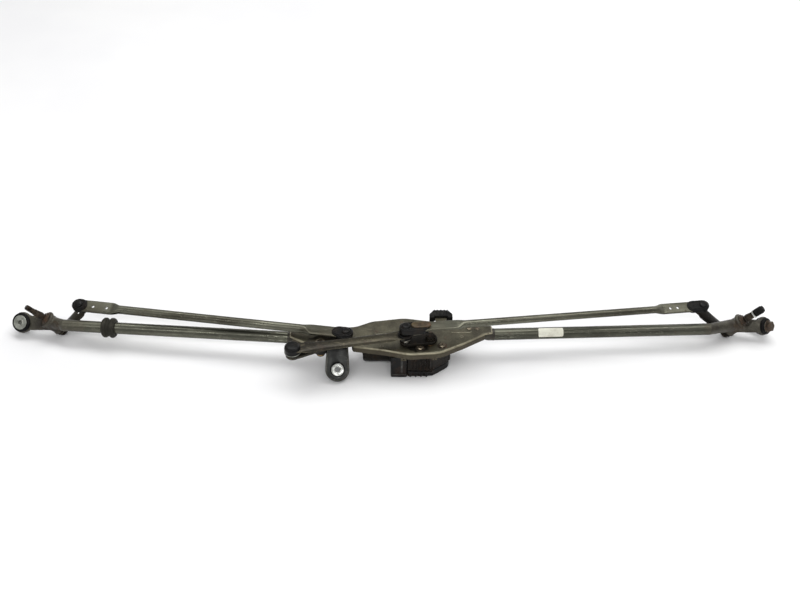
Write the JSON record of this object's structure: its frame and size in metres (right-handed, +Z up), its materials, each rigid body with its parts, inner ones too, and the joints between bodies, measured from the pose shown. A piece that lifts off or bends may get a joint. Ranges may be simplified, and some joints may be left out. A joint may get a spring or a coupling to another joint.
{
  "type": "windshield wiper linkage",
  "caption": "Wiper linkage with a tube frame, a central gear motor, crank, rocker and ball-jointed links that sweep its two angled spindles in opposite directions.",
  "frame": {"origin": "on the surface the linkage lies on, under the middle of its bounding box", "axes": "+X along the linkage to the right-hand spindle, +Y to its rear, +Z up"},
  "size_m": [1.3454, 0.1575, 0.1048],
  "materials": {
    "frame_tube_steel": "worn satin paint over drawn steel tube",
    "plate_steel": "grey-olive plated sheet with brown-stained edges",
    "link_steel": "dark plated tube, greasy and rust-stained at the ends",
    "lever_steel": "greasy dark steel with brown rust",
    "spindle_steel": "steel with brown rust film",
    "ball_steel": "polished ball steel",
    "bright_steel": "bright zinc plate",
    "fastener_steel": "zinc plate turning to rust",
    "casting": "die-cast metal, grey-brown",
    "bearing_bronze": "oil-soaked sintered bronze",
    "black_rubber": "matt moulded rubber",
    "socket_plastic": "black moulded nylon with grease",
    "gearcase_metal": "stained die-cast case",
    "cover_plastic": "black moulded cover",
    "can_steel": "black painted drawn can",
    "connector_plastic": "black moulded connector",
    "terminal_brass": "tinned brass",
    "magnet_ferrite": "sintered ferrite",
    "brush_carbon": "pressed carbon",
    "armature_steel": "ground shaft and laminations",
    "commutator_copper": "copper segments",
    "wheel_nylon": "natural nylon gear"
  },
  "bodies": {
    "root": {"left_frame_tube": "frame_tube_steel", "right_frame_tube": "frame_tube_steel", "tube_collar": "black_rubber", "left_tube_spigot": "casting", "right_tube_spigot": "casting", "frame_rivets": "fastener_steel", "motor_plate": "plate_steel", "centre_mount_bracket": "plate_steel", "centre_grommet": "black_rubber", "centre_sleeve": "bright_steel", "left_mount_grommet": "black_rubber", "left_mount_sleeve": "bright_steel", "right_mount_grommet": "black_rubber", "right_mount_sleeve": "bright_steel", "right_mount_bolt": "fastener_steel", "rear_isolator": "black_rubber", "left_pivot_housing": "casting", "right_pivot_housing": "casting", "left_spindle_bushes": "bearing_bronze", "right_spindle_bushes": "bearing_bronze", "rocker_bearing": "bearing_bronze", "gear_housing": "gearcase_metal", "gear_cover": "cover_plastic", "motor_can": "can_steel", "motor_magnets": "magnet_ferrite", "brush_holder": "connector_plastic", "carbon_brushes": "brush_carbon", "output_bearing": "bearing_bronze", "motor_screws": "fastener_steel", "motor_connector": "connector_plastic", "connector_terminals": "terminal_brass"},
    "crank": {"crank_arm": "lever_steel", "crank_nut": "fastener_steel", "crank_stud": "ball_steel", "output_shaft": "spindle_steel", "worm_wheel": "wheel_nylon"},
    "rocker": {"rocker_lever": "lever_steel", "rocker_pin": "spindle_steel", "rocker_circlip": "fastener_steel"},
    "left_spindle": {"left_spindle": "spindle_steel", "left_spindle_clips": "spindle_steel", "left_lever": "lever_steel", "left_lever_stud": "ball_steel"},
    "right_spindle": {"right_spindle": "spindle_steel", "right_spindle_clips": "spindle_steel", "right_lever": "lever_steel", "right_lever_stud": "ball_steel"},
    "short_link": {"short_link_bar": "link_steel", "short_link_outer_socket": "socket_plastic", "short_link_crank_socket": "socket_plastic", "rocker_front_ball": "ball_steel"},
    "left_link": {"left_link_rod": "link_steel", "left_link_sockets": "socket_plastic", "rocker_rear_ball": "ball_steel"},
    "right_link": {"right_link_rod": "link_steel", "right_link_sockets": "socket_plastic", "crank_upper_ball": "ball_steel"},
    "armature": {"armature_shaft": "armature_steel", "armature_core": "armature_steel", "commutator": "commutator_copper"}
  },
  "joints": [
    {"name": "crank_turn", "type": "hinge", "parent": "root", "child": "crank", "pos_m": [0.064, -0.036, 0.065], "axis": [0, 0, 1], "range_deg": [0, 180]},
    {"name": "rocker_swing", "type": "hinge", "parent": "root", "child": "rocker", "pos_m": [-0.1215, -0.044, 0.062], "axis": [0, 0, 1], "range_deg": [0, 112.03]},
    {"name": "left_spindle_sweep", "type": "hinge", "parent": "root", "child": "left_spindle", "pos_m": [-0.583, 0.0515, 0.007], "axis": [-0.6428, -0.1198, 0.7566], "range_deg": [0, 95.77]},
    {"name": "right_spindle_sweep", "type": "hinge", "parent": "root", "child": "right_spindle", "pos_m": [0.587, 0.046, 0.007], "axis": [0.6428, -0.1198, 0.7566], "range_deg": [-88.36, 0]},
    {"name": "short_link_pivot", "type": "hinge", "parent": "crank", "child": "short_link", "pos_m": [0.02252, -0.04257, 0.08], "axis": [0.0002, -0.0011, 1], "range_deg": [-175.07, 0]},
    {"name": "left_link_pivot", "type": "hinge", "parent": "left_spindle", "child": "left_link", "pos_m": [-0.54872, 0.05566, 0.06189], "axis": [-0.5893, -0.1042, 0.8012], "range_deg": [-97.55, 0]},
    {"name": "right_link_pivot", "type": "hinge", "parent": "right_spindle", "child": "right_link", "pos_m": [0.53807, 0.04095, 0.07289], "axis": [0.5723, -0.1196, 0.8113], "range_deg": [0, 93.72]},
    {"name": "armature_spin", "type": "hinge", "parent": "root", "child": "armature", "pos_m": [0, -0.013, 0.023], "axis": [1, 0, 0], "continuous": true}
  ],
  "couplings": [
    {"joint": "rocker_swing", "follows": "crank_turn", "ratio": 0.62228},
    {"joint": "left_spindle_sweep", "follows": "crank_turn", "ratio": 0.53197},
    {"joint": "right_spindle_sweep", "follows": "crank_turn", "ratio": -0.4908},
    {"joint": "short_link_pivot", "follows": "crank_turn", "ratio": -0.97249},
    {"joint": "left_link_pivot", "follows": "crank_turn", "ratio": -0.54186},
    {"joint": "right_link_pivot", "follows": "crank_turn", "ratio": 0.52054},
    {"joint": "armature_spin", "follows": "crank_turn", "ratio": 36}
  ]
}
